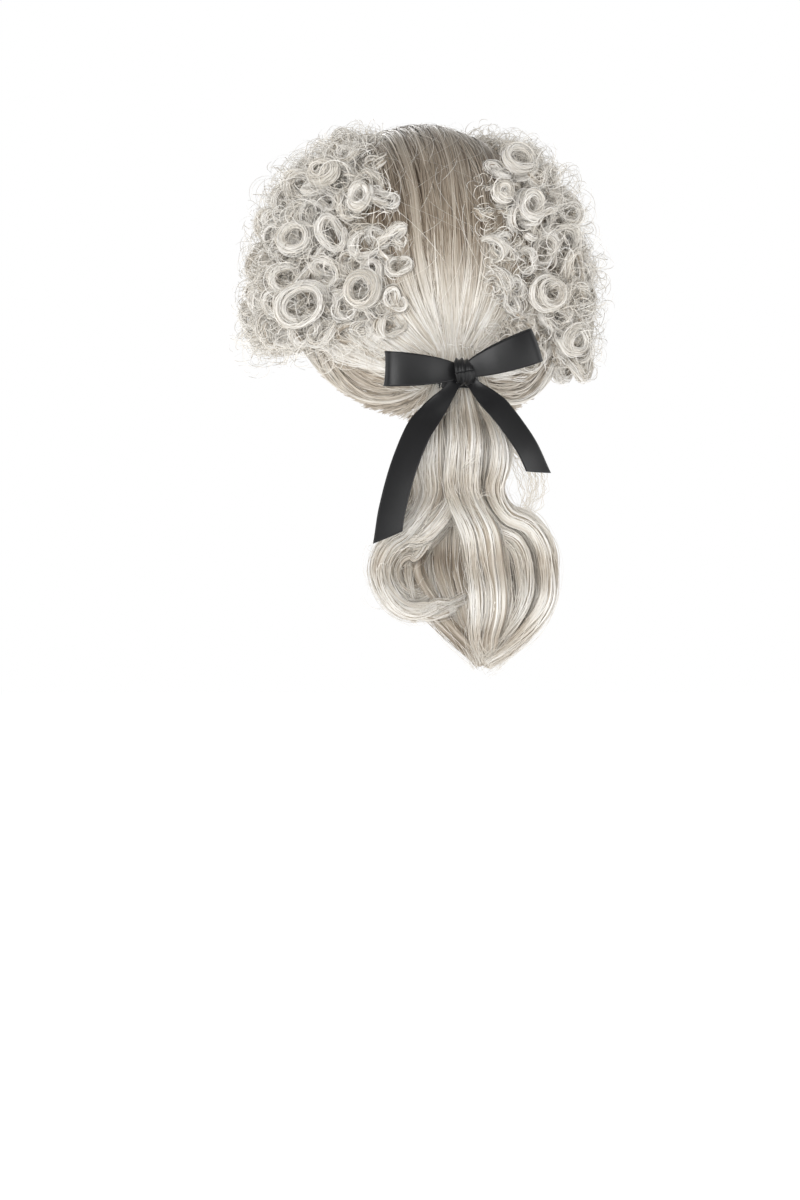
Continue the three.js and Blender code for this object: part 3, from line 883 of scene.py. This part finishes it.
def left_roll(rng):
    """A strand route down the left side: round the rim of the open roll, or down behind its mouth."""
    side = rng.uniform(-1, 1)
    kind = rng.random()
    if kind < 0.3:
        y = 110 + 4 * side + rng.uniform(-3, 4)
        route = ((4, 5, 115, -44), (7, 8, 117, -60), (12, 12, 125, -80), (14, 14, 122, -102),
                 (17, 12, 117, -124), (24, 14, y + 2, -143), (29, 18, y, -160), (30, 19, y, -176),
                 (26, 17, y + 1, -191), (17, 11, y + 4, -201))
        return np.array([(x + w * side, deep, z) for x, w, deep, z in route])
    inner = kind < 0.5
    radius = ROLL_RADIUS * (rng.uniform(0.42, 0.72) if inner else 0.9 + 0.1 * side)
    y = rng.uniform(111, 118) if inner else rng.uniform(112, 130)
    start = math.radians(82 - 34 * side + rng.uniform(-8, 8))
    end = -math.radians(rng.uniform(88, 128))
    t = ticks(8)
    angle = mix(start, end, t)
    r = radius * mix(1, rng.uniform(0.86, 1.0), t)
    arc = xyz(ROLL_X + 0.9 * r * np.cos(angle), y - 5 * t, ROLL_Z + r * np.sin(angle))
    out = y - 119
    lead = [(4 + 5 * side, 116 + 0.1 * out, -44), (7 + 8 * side, 119 + 0.3 * out, -60),
            (12 + 13 * side, 128 + 0.6 * out, -80), (13 + 16 * side, 125 + 0.7 * out, -102),
            (12 + 14 * side, 123 + 0.9 * out, -124)]
    if inner or rng.random() < 0.5:
        return np.vstack([lead, arc])
    return np.vstack([lead, arc, arc[-1] + np.array([(-9, -1, -1), (-19, -2, 3)])])


def right_hook(rng):
    """A strand route down the right side, over and round in a hook to the tip."""
    side, y = rng.uniform(-1, 1), rng.uniform(-11, 11)
    # x, z, half width of the hook, how much of the strand's own depth it keeps
    route = np.array([(-5, -44, 5, 0.3), (-8, -60, 8, 0.4), (-14, -80, 12, 0.8), (-15, -103, 13, 0.9),
                      (-15, -122, 11, 1), (-24, -139, 10, 1), (-38, -147, 11, 1), (-47, -163, 11, 1),
                      (-47, -184, 10.5, 0.9), (-40, -202, 9, 0.7), (-28, -217, 5.5, 0.5), (-15, -228, 2, 0.2)])
    path = xyz(route[:, 0], 128 + y * route[:, 3], route[:, 1])
    path[0, 1], path[1, 1] = 116 + 0.3 * y, 119 + 0.4 * y
    across = unit(np.cross(BACK, tangents(path)))
    return path + across * (side * route[:, 2])[:, None]


# x, y, z and half width of the hair that falls down the middle, which is 0.45 as deep as wide
MIDDLE = ((0, 117, -44, 6), (-1, 121, -60, 9), (-1, 131, -80, 13), (0, 129, -104, 14), (-3, 130, -128, 13),
          (-10, 136, -150, 14), (-14, 139, -172, 15), (-15, 137, -196, 14), (-15, 131, -214, 10),
          (-17, 126, -228, 3))
# x, y, z, half width and half depth of the hair inside
INSIDE = ((0, 114, -44, 6, 4), (0, 113, -60, 9, 5), (0, 116, -80, 17, 7), (0, 114, -110, 22, 8),
          (-3, 111, -140, 30, 7), (-4, 108, -168, 38, 6), (-7, 112, -190, 29, 6), (-11, 117, -206, 19, 5),
          (-14, 122, -219, 9, 4), (-16, 124, -229, 2, 2))


def centre_fall(rng):
    """A strand route down the middle to the tip."""
    side, y = rng.uniform(-1, 1, 2)
    return np.array([(x + side * w, back + y * 0.45 * w, z) for x, back, z, w in MIDDLE])


def back_fill(rng):
    """A strand route inside the mass, behind the gaps between the locks."""
    side, y = rng.uniform(-1, 1, 2)
    return np.array([(x + side * w, back + y * d, z) for x, back, z, w, d in INSIDE])


# piece, CAD nodes it stands for, route of a lock, locks, strands of one, half width, half depth, tone, seed
QUEUE = (
    ("queue_left", ("queue_lock_left", "queue_roll_left"), left_roll, 38, 52, 4.6, 4.2, 0.12, 41),
    ("queue_right", ("queue_lock_right", "queue_roll_right"), right_hook, 20, 62, 4.8, 3.8, 0.08, 43),
    ("queue_centre", ("queue_lock_centre", "queue_tip"), centre_fall, 16, 62, 4.8, 3.4, 0.14, 47),
    # the hair inside is painted dark: painted shade within the mass
    ("queue_inside", ("queue_lock_centre", "queue_tip"), back_fill, 20, 36, 6.0, 4.0, -0.2, 49),
)


WISPS, WISP_HAIRS = 16, 5


def wisps(hair, route):
    """Fine hairs that stand off the mass in open loops."""
    rng = hair.rng
    t = ticks(20)
    for _ in range(WISPS):
        at = spline(route(rng), 60)[rng.integers(14, 56)]
        away = unit(np.array([at[0] + 6 - 0.03 * (at[2] + 100), (at[1] - 124) * 0.3, rng.normal(0, 6)]))
        axis = unit(np.array([rng.normal(0, 0.35), 1.0, rng.normal(0, 0.35)]))
        u = unit(np.cross(axis, away))
        radius = rng.uniform(4, 9)
        middle = at + away * radius * 1.1
        group = []
        for _ in range(WISP_HAIRS):
            angle = rng.uniform(-0.3, 0.3) + t * rng.uniform(2.5, 5.5)
            r = radius * rng.uniform(0.8, 1.2)
            group.append(middle + rng.normal(0, 0.8, 3) + circling(-away, u, angle, r)
                         + axis * (t * rng.normal(0, 4))[:, None])
        group = np.array(group)
        hair.add(group, np.broadcast_to(away, group.shape), 0.24, 0.12, 30.0)


def frizz_net(hair):
    """Crimped fine hairs that stand out in a loose net over the right hook."""
    rng = hair.rng
    strands = 44
    t = ticks(26)[None]
    swell = rng.uniform(4, 22, (strands, 1))
    crimp = rng.uniform(0.4, 1.3, (3, strands, 1)) * np.sin(
        t * rng.uniform(18, 40, (3, strands, 1)) + rng.uniform(0, 6.28, (3, strands, 1)))
    x = mix(-25, -42, t) - swell * np.sin(np.pi * t) ** 0.8 + crimp[0]
    y = rng.uniform(112, 130, (strands, 1)) + crimp[1]
    z = mix(rng.uniform(-92, -80, (strands, 1)), rng.uniform(-142, -128, (strands, 1)), t) + crimp[2]
    paths = xyz(x, y, z)
    hair.add(paths, np.broadcast_to(BACK, paths.shape), 0.28, 0.05, 50.0)


def build_queue():
    steps = 56
    t = ticks(steps)
    size = mix(0.55, 1.0, smooth(t, 0.0, 0.25)) * mix(1.0, 0.6, smooth(t, 0.8, 1.0))
    for name, nodes, route, locks, strands, half_w, half_d, tone, seed in QUEUE:
        hair = Hair(name, seed)
        inside = route is back_fill
        for _ in range(locks):
            line, crest = crimped(spline(route(hair.rng), steps), 0.4 if inside else 1.0)
            wide = np.cross(BACK, tangents(line))
            drift = 0.9 * np.sin(t * 15 + hair.rng.uniform(0, 6.28)) * smooth(t, 0.1, 0.3)
            line = line + wide * drift[:, None]
            # the crimp's swells are painted lighter and its hollows darker: painted highlight and painted
            # shade
            bundle(hair, line, wide, half_w * size, half_d * size, strands, clumping=0.15, tilt=30.0,
                   grain=0.05, tone=(tone + 0.2 * crest + hair.rng.normal(0, 0.04))[None], frizz=0.7,
                   core=0.55, shell=0.85, tip=0.8)
            # stray hairs
            bundle(hair, line, wide, half_w * 1.3, half_d * 1.3, 7, width=0.28, clumps=7, clumping=0.0,
                   tone=0.1, frizz=2.4, core=0, shell=0.2)
        if not inside:
            wisps(hair, route)
        if route is right_hook:
            frizz_net(hair)
        span(hair.make(), "hair", nodes, ("tie", "queue"), *QUEUE_BEND)
    neck = Hair("neck_hair", 53)
    path = spline([(0, 116, -40), (0, 116, -50), (0, 117, -62)], 10)
    bundle(neck, path, (1, 0, 0), np.full(10, NECK_R), np.full(10, NECK_R - 1), 260, width=0.7, core=0.85)
    place(neck.make(), "hair", "tie", "queue_neck")


# ---- the cap inside ----
MM_PER_DEGREE = 1.7
CORD_RING, CORD_RADIUS = 13.3, 1.05
BAND_LOW, BAND_HIGH, SEAM_RISE = -0.05, 1.45, 0.25
NET_HEIGHT = 0.45
STRAP_LINE = NAPE_EDGE - 4
STRAP_HALF = 2.4
STRAP_LOW, STRAP_HIGH = -3.2, -2.1
WEFT_STEP, WEFT_WIDTH = 11.5, 1.8
PLASTIC_NODES = ("ear_stay_left", "ear_stay_right", "strap_hook_left", "strap_hook_right")


def zigzag(start, end, height, pitch=2.4, swing=1.1):
    """A zigzag of sewing thread between two (polar, lateral) places."""
    (a0, b0), (a1, b1) = start, end
    span = math.hypot(a1 - a0, b1 - b0)
    count = max(6, int(span * MM_PER_DEGREE / pitch) * 2)
    t = ticks(count)
    side = np.where(np.arange(count) % 2, 1, -1) * swing / MM_PER_DEGREE / 2
    a = mix(a0, a1, t) - side * (b1 - b0) / span
    b = mix(b0, b1, t) + side * (a1 - a0) / span
    return threads(on_head(a, b, np.full(count, height))[None], 0.22)


def band(name, node, polar, lateral, ribs, crosswise=True):
    """A ribbed elastic band with a zigzag seam near each edge, inside and outside. Its ribs run
    along its length: from side to side if it is crosswise, or else from front to back."""
    (a0, a1), (b0, b1) = polar, lateral

    def rib(a, b):
        across, along = ((a - a0) / (a1 - a0), b) if crosswise else ((b - b0) / (b1 - b0), a)
        return 0.18 * np.cos(TURN * ribs * across) + 0.05 * np.cos(along * 9)

    cells = (ribs * 8 + 1, 150)
    parts = [patch(polar, lateral, lambda a, b: BAND_LOW - rib(a, b), lambda a, b: BAND_HIGH + rib(a, b),
                   *(cells if crosswise else cells[::-1]))]
    for t in (0.2, 0.8):
        for height in (BAND_HIGH + SEAM_RISE, BAND_LOW - SEAM_RISE):
            ends = [(mix(a0, a1, t), b) for b in lateral]
            if not crosswise:
                ends = [(a, mix(b0, b1, t)) for a in polar]
            parts.append(zigzag(*ends, height))
    place(to_mesh(name, *joined(parts), ELASTIC_MAT), "elastic", "cap", node)


def build_net():
    """Threads front to back, crossed by threads that stop short where they crowd together."""
    polar = np.linspace(FRONT_EDGE - 1, NAPE_EDGE + 1, 70)
    a, b = np.meshgrid(polar, np.arange(-EAR_EDGE, EAR_EDGE + 0.1, 2.0))
    parts = [threads(on_head(a, b, np.full(a.shape, NET_HEIGHT)), 0.3)]
    for i, angle in enumerate(np.arange(FRONT_EDGE, NAPE_EDGE + 1, 1.9)):
        edge = EAR_EDGE + 0.5 if i % 4 == 0 else (64 if i % 2 == 0 else 48)
        b = np.linspace(-edge, edge, 70)
        parts.append(threads(on_head(np.full(70, angle), b, np.full(70, NET_HEIGHT + 0.3))[None], 0.24))
    place(to_mesh("stretch_net", *joined(parts), NET_MAT), "net", "cap", "cap_net")


def build_wefts():
    """Rows of machine-sewn hair: a tape, its seam, and the roots of the hair."""
    tapes, roots = [], Hair("weft_roots", 61)
    strands, reach_side = 260, 70
    for angle in np.arange(-50, 120, WEFT_STEP):
        tapes.append(patch((angle, angle + WEFT_WIDTH), (-reach_side, reach_side), level(1.25), level(2.1),
                           3, 60))
        tapes.append(zigzag((angle + 0.9, 1 - reach_side), (angle + 0.9, reach_side - 1), 1.1, 3.0, 1.6))
        b = roots.rng.uniform(-reach_side, reach_side, strands)[:, None]
        t = ticks(6)[None]
        a = angle + 1 + t * roots.rng.uniform(5, 11, (strands, 1))
        bend = b + t * roots.rng.normal(0, 1.6, (strands, 1))
        lift = 1.9 + 1.6 * t + roots.rng.uniform(0, 0.8, (strands, 1))
        points = on_head(a, bend, lift)
        # the roots are painted a little darker: painted shade
        roots.add(points, unit(points), 0.7, 0.0, 30.0, deep=0.12)
    place(to_mesh("weft_tapes", *joined(tapes), NET_MAT), "net", "cap", *WEFTS)
    place(roots.make(), "hair", "cap", *WEFTS)


def build_ear_tab(side):
    """A lace tongue with a corded rim and a casing for its stay."""
    low, high = (np.array(c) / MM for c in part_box(f"ear_tab_{side}"))
    x0, middle, _ = (low + high) / 2
    thick, half, _ = (high - low) / 2
    top, length = high[2], high[2] - low[2]
    rows, cells, bend = 40, 25, 9.0
    down = ticks(rows) * length
    past = np.maximum(down - length + bend, 0)
    wide = half - 0.55 - (bend - np.sqrt(np.maximum(bend**2 - past**2, 0))) * 0.999
    z = top - down * 0.98
    s = np.linspace(-1, 1, cells)
    lace = 0.1 * np.cos(down / 1.1)[:, None] * np.cos(s * 22)[None]
    pillow = thick * (0.55 + 0.3 * (1 - s**4)[None] + lace)
    y = middle + s[None] * wide[:, None]
    front, rear = (xyz(x0 + face * pillow, y, z[:, None]) for face in (1, -1))
    rings = np.concatenate([front, rear[:, ::-1]], 1)
    parts = [(rings.reshape(-1, 3), closed_faces(rows, 2 * cells)[:, ::-1])]
    rim = np.concatenate([xyz(x0, middle - wide, z), xyz(x0, middle + wide, z)[::-1]])
    parts.append(threads(rim[None], 0.5))
    for face in (-1, 1):
        seam = rim.copy()
        seam[:, 0] += face * thick * 0.95
        seam[:, 1] = middle + (rim[:, 1] - middle) * 0.8 + 0.5 * np.where(np.arange(len(rim)) % 2, 1, -1)
        seam[:, 2] = top + (rim[:, 2] - top) * 0.9
        parts.append(threads(seam[None], 0.16))
    place(to_mesh(f"ear_lace_{side}", *joined(parts), NET_MAT), "net", f"tab_{side}", f"ear_tab_{side}")


def build_strap(side, sign):
    """The adjusting strap stretches between its sewn end and the hook, which has a tape of loops."""
    polar = (STRAP_LINE - STRAP_HALF, STRAP_LINE + STRAP_HALF)

    def rib(a):
        return 0.12 * np.cos((a - STRAP_LINE) * 8)

    strap = patch(polar, (sign * 32.6, sign * 62), lambda a, b: STRAP_LOW - rib(a),
                  lambda a, b: STRAP_HIGH + rib(a), 41, 60)
    ends = (tuple(on_head(STRAP_LINE, sign * b, -2.6) * MM) for b in (59.0, 34.0))
    span(to_mesh(f"elastic_strap_{side}", *strap, ELASTIC_MAT), "elastic", (f"strap_{side}",),
         ("cap", f"hook_{side}"), *ends)
    tape = [patch(polar, (sign * 4, sign * 25), level(-2.4), level(-1.7), 5, 40)]
    a = np.linspace(STRAP_LINE - 2.0, STRAP_LINE + 2.0, 12)
    hump = -2.3 - 0.5 * np.sin(np.linspace(0, np.pi, 12)) ** 0.5
    for b in np.arange(6.5, 25, 3.2):
        tape.append(threads(on_head(a, np.full(12, sign * b), hump)[None], 0.35))
    for edge in (1.9, -1.9):
        tape.append(zigzag((STRAP_LINE + edge, sign * 4.5), (STRAP_LINE + edge, sign * 24.5), -2.5))
    place(to_mesh(f"loop_tape_{side}", *joined(tape), ELASTIC_MAT), "elastic", "cap", f"hook_tape_{side}")


def build_hair_elastic():
    """A covered cord that goes twice round the hair."""
    turn = np.linspace(0, 2 * TURN, 160)
    rise = -0.9 + 1.8 * turn / turn[-1] + 0.15 * np.sin(turn * 40)
    ring = TIE + xyz(CORD_RING * np.cos(turn), CORD_RING * np.sin(turn), rise)
    cord = threads(ring[None], CORD_RADIUS, 8)
    place(to_mesh("tie_elastic", *cord, ELASTIC_MAT), "elastic", "tie", "hair_elastic")


def build_cap():
    build_net()
    build_wefts()
    band("front_elastic", "front_band", (FRONT_EDGE - 6, FRONT_EDGE - 0.6), (-74, 74), 5)
    band("nape_elastic", "nape_band", (NAPE_EDGE + 0.6, NAPE_EDGE + 7), (-60, 60), 6)
    for side, sign in SIDES:
        band(f"side_elastic_{side}", f"side_band_{side}", (-50, 118),
             (sign * (EAR_EDGE + 0.8), sign * (EAR_EDGE + 5.5)), 4, crosswise=False)
        build_ear_tab(side)
        build_strap(side, sign)
    build_hair_elastic()


def dress_cad_nodes():
    """The plastic stays and hooks keep their CAD shape and get their own finish."""
    for obj in bpy.data.objects:
        if obj.name in PLASTIC_NODES:
            obj.data.materials.clear()
            obj.data.materials.append(PLASTIC_MAT)


# ---- ribbon ----
SATIN_THICK = 0.45
WRAP_RADIUS, WRAP_HEIGHT, WRAP_WIDTH = 14.4, -48.5, 15.0
# the ribbon is gathered to these widths where it comes out of the knot
LOOP_ROOT, END_ROOT = 8.5, 7.5


def ribbon(name, node, path, widths, ups, cup=0.0, cut=0.0, crease=0.0, body="tie"):
    """A satin strip along path, with woven edges and real thickness. Its width lies along ups.
    cup bows it outwards, crease gathers it, and cut slants its far end."""
    n = len(path)
    tangent = tangents(path)
    side = square_to(ups, tangent)
    out = np.cross(tangent, side)
    s = np.linspace(-1, 1, 17)
    half_thick = SATIN_THICK / 2 * (1 + 0.35 * (np.abs(s) > 0.93))
    slant = s[None, :, None] * cut * smooth(ticks(n), 0.9, 1)[:, None, None]
    swell = cup * (1 - s**2)[None, :] + crease * np.sin(s * 8.5 + 0.6 * np.sin(np.arange(n) / 5)[:, None])
    across = side[:, None] * (s[None, :, None] * widths[:, None, None] / 2)
    mid = path[:, None] + across + out[:, None] * swell[..., None] + tangent[:, None] * slant
    thick = out[:, None] * half_thick[None, :, None]
    rings = np.concatenate([mid + thick, (mid - thick)[:, ::-1]], 1)
    m = rings.shape[1]
    weave = np.stack([np.tile(np.concatenate([s, s[::-1]]), n), np.repeat(np.linspace(0, n / 10, n), m)], -1)
    obj = to_mesh(name, rings.reshape(-1, 3), closed_faces(n, m)[:, ::-1], SATIN_MAT, uv=("weave", weave))
    place(obj, "satin", body, node)
    return obj


# half of a loop's eye, from the knot out to the fold: x, y
LOOP_EYE = [(4, 0.7), (13, 2.1), (23, 4.5), (37, 5.5), (47, 3.9), (50.2, -0.5)]
LOOP_TILT = {"left": 2, "right": 20}
# each ribbon end: the points it hangs through, its turn about its own line, the slant of its cut
RIBBON_ENDS = {
    "left": ([(4, 137, -51), (10, 140.5, -59), (21, 145, -71), (31, 148.5, -84), (41, 151, -107),
              (48, 152, -132), (51, 152, -150)], 46, 5.0),
    "right": ([(-4, 137, -51), (-10, 140.5, -58), (-20, 145.5, -68), (-29, 149.5, -80), (-38, 152, -94),
               (-45, 152.5, -109)], -38, -4.0),
}


def build_wrap_and_knot():
    """The turn round the hair, and the knot: the ribbon once over the crossing of the loops."""
    angle = np.linspace(0, TURN, 97)
    ring = xyz(TIE[0] + WRAP_RADIUS * np.cos(angle), TIE[1] + WRAP_RADIUS * np.sin(angle), WRAP_HEIGHT)
    wrap = ribbon("ribbon_turn", "ribbon_wrap", ring, np.full(97, WRAP_WIDTH), UP)
    t = np.linspace(0, TURN, 61)
    knot = KNOT + xyz(0.7 * np.sin(2 * t), -0.9 + 6.3 * np.cos(t), 7.3 * np.sin(t))
    ribbon("knot", "ribbon_knot", knot, 11.0 + 1.5 * np.cos(t * 2), np.array([1.0, 0, 0.12]), cup=0.7,
           crease=0.7)


def build_loop(side, sign):
    """A bow loop: out from the knot, round the fold and back."""
    points = LOOP_EYE + [(x, -1 - y) for x, y in LOOP_EYE[-2::-1]]
    flat = spline([(sign * x, y, 0) for x, y in points], 90)
    width = mix(LOOP_ROOT, RIBBON_WIDTH, np.sin(np.pi * ticks(90)) ** 0.6)
    a = math.radians(LOOP_TILT[side]) * sign
    tilt = np.array([[math.cos(a), 0, -math.sin(a)], [0, 1, 0], [math.sin(a), 0, math.cos(a)]])
    loop = ribbon(f"bow_{side}", f"ribbon_loop_{side}", flat @ tilt.T + KNOT, width, tilt @ UP, cup=0.8,
                  body=f"bow_loop_{side}")


def build_end(side):
    """A loose end: it hangs from the knot, turns about its own line and ends in a slanted cut."""
    points, turn, cut = RIBBON_ENDS[side]
    path = spline(points, 70)
    s = ticks(70)
    tangent = tangents(path)
    flat = unit(np.cross(tangent, BACK))
    turn = (math.radians(turn) * smooth(s, 0, 0.3))[:, None]
    ups = flat * np.cos(turn) + np.cross(tangent, flat) * np.sin(turn)
    width = mix(END_ROOT, 20.5, smooth(s, 0.03, 0.35))
    end = ribbon(f"bow_end_{side}", f"ribbon_end_{side}", path, width, ups, cup=0.6, cut=cut,
                 body=f"bow_end_{side}")


def build_bow():
    build_wrap_and_knot()
    for side, sign in SIDES:
        build_loop(side, sign)
    for side in RIBBON_ENDS:
        build_end(side)


# ---- stage, in metres ----
WORLD_LIGHT = 0.34
FLOOR_RADIUS, FLOOR_HEIGHT, FLOOR_GLOW = 40.0, -0.62, 0.93
LIGHT_AIM = Vector((0, 0, -0.03))
# name, place, size, power
LIGHTS = (
    ("key", (0.85, 2.0, 0.2), 1.2, 25),
    ("fill", (-1.4, 1.6, -0.1), 1.2, 9),
    ("top", (0.1, 0.4, 1.9), 1.2, 3),
    ("front", (0.3, -2.2, 0.6), 1.4, 26),
    ("side_left", (2.3, -0.2, 0.3), 1.2, 8),
    ("side_right", (-2.3, -0.2, 0.3), 1.2, 8),
)
CAMERA_TURN, CAMERA_LENS, CAMERA_DISTANCE = 169, 300, 6.399
CAMERA_AIM = (0.0134, -0.189)


def put_facing(name, data, place_m, way):
    """A light or camera at a place, looking along way."""
    obj = bpy.data.objects.new(name, data)
    obj.location = place_m
    obj.rotation_mode = "QUATERNION"
    obj.rotation_quaternion = way.to_track_quat("-Z", "Y")
    bpy.context.scene.collection.objects.link(obj)
    return obj


def build_world():
    """White where the camera sees it, and a soft light everywhere else."""
    world = bpy.data.worlds.new("studio")
    bpy.context.scene.world = world
    world.use_nodes = True
    tree = world.node_tree
    background = tree.nodes["Background"]
    background.inputs["Color"].default_value = (1, 1, 1, 1)
    seen = node(tree, "ShaderNodeLightPath").outputs["Is Camera Ray"]
    strength = maths(tree, "MULTIPLY_ADD", seen, 1.0 - WORLD_LIGHT, WORLD_LIGHT)
    tree.links.new(strength, background.inputs["Strength"])
    bpy.context.scene.view_settings.view_transform = "Standard"


def build_floor():
    mesh = bpy.data.meshes.new("floor")
    angle = np.linspace(0, TURN, 96, endpoint=False)
    ring = [(FLOOR_RADIUS * math.cos(a), FLOOR_RADIUS * math.sin(a), FLOOR_HEIGHT) for a in angle]
    mesh.from_pydata(ring, [], [tuple(range(len(ring)))])
    mat, _, shader = material("floor", 0.9, 0.1)
    shader.inputs["Base Color"].default_value = (0.2, 0.2, 0.2, 1)
    shader.inputs["Emission Color"].default_value = (1, 1, 1, 1)
    shader.inputs["Emission Strength"].default_value = FLOOR_GLOW
    mesh.materials.append(mat)
    floor = bpy.data.objects.new("floor", mesh)
    bpy.context.scene.collection.objects.link(floor)


def build_stage():
    build_world()
    build_floor()
    for name, place_m, size, power in LIGHTS:
        light = bpy.data.lights.new(name, "AREA")
        light.size = size
        light.energy = power
        put_facing(name, light, place_m, LIGHT_AIM - Vector(place_m))


def build_camera():
    """A level view of the back of the head, a little to the wearer's left."""
    turn = math.radians(CAMERA_TURN)
    back = Vector((math.sin(turn), -math.cos(turn), 0))
    left = Vector((back.y, -back.x, 0))
    aim = left * CAMERA_AIM[0] + Vector((0, 0, CAMERA_AIM[1]))
    cam = bpy.data.cameras.new("camera")
    cam.lens = CAMERA_LENS
    cam.sensor_width = 36
    bpy.context.scene.camera = put_facing("camera", cam, aim + back * CAMERA_DISTANCE, -back)


build_camera()
build_stage()
build_combed()
build_nape()
build_curls()
build_queue()
build_bow()
build_cap()
dress_cad_nodes()
